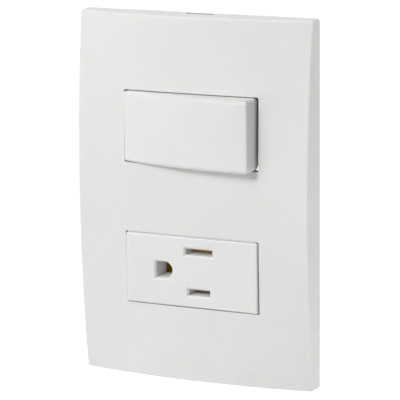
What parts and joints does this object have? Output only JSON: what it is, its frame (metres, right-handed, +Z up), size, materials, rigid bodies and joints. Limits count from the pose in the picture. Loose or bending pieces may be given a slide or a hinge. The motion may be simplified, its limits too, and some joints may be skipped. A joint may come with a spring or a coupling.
{
  "type": "switch and socket combination",
  "caption": "White wall plate with a wide rocker switch above and a grounded flat-blade socket below, on a clip-in support frame.",
  "frame": {"origin": "centre of the two box screws, in the wall plane", "axes": "+Z up the wall along the plate's long side, +Y into the wall along the box screws, +X to the right seen from the room"},
  "size_m": [0.078, 0.0373, 0.114],
  "materials": {
    "plate_plastic": "white moulded plastic with a fine satin skin",
    "rocker_plastic": "white moulded plastic, slightly smoother than the plate",
    "face_plastic": "white moulded plastic, satin",
    "frame_plastic": "light grey moulded plastic",
    "housing_plastic": "grey moulded plastic",
    "plunger_plastic": "black low-friction plastic",
    "contact_brass": "rolled brass, slightly dull",
    "contact_silver": "silver alloy",
    "screw_steel": "zinc-plated steel",
    "spring_steel": "drawn spring wire"
  },
  "bodies": {
    "base": {"common_clamp_plate": "screw_steel", "common_terminal": "contact_brass", "common_terminal_screw": "screw_steel", "cover_plate": "plate_plastic", "fixed_contact": "contact_silver", "ground_clamp_plate": "screw_steel", "ground_contact": "contact_brass", "ground_terminal_screw": "screw_steel", "line_clamp_plate": "screw_steel", "line_contact": "contact_brass", "line_terminal_screw": "screw_steel", "load_clamp_plate": "screw_steel", "load_terminal": "contact_brass", "load_terminal_screw": "screw_steel", "lower_box_screw": "screw_steel", "neutral_clamp_plate": "screw_steel", "neutral_contact": "contact_brass", "neutral_terminal_screw": "screw_steel", "socket_face": "face_plastic", "socket_housing": "housing_plastic", "support_frame": "frame_plastic", "switch_bezel": "housing_plastic", "switch_housing": "housing_plastic", "upper_box_screw": "screw_steel"},
    "rocker": {"rocker": "rocker_plastic", "plunger_spring": "spring_steel"},
    "plunger": {"plunger": "plunger_plastic"},
    "contact_lever": {"contact_lever": "contact_brass", "moving_contact": "contact_silver"}
  },
  "joints": [
    {"name": "rocker_pivot", "type": "hinge", "parent": "base", "child": "rocker", "pos_m": [0, -0.008, 0.0221], "axis": [0, 0, 1], "range_deg": [0, 14.4]},
    {"name": "plunger_slide", "type": "slide", "parent": "rocker", "child": "plunger", "axis": [-0.1253, -0.9921, 0], "range_m": [0, 0.0008], "stiffness_N_per_m": 300, "deforming": ["plunger_spring"]},
    {"name": "contact_lever_pivot", "type": "hinge", "parent": "base", "child": "contact_lever", "pos_m": [0, 0.0072, 0.0221], "axis": [0, 0, 1], "range_deg": [-10.08, 0]}
  ],
  "couplings": [
    {"joint": "contact_lever_pivot", "follows": "rocker_pivot", "ratio": -0.7}
  ]
}
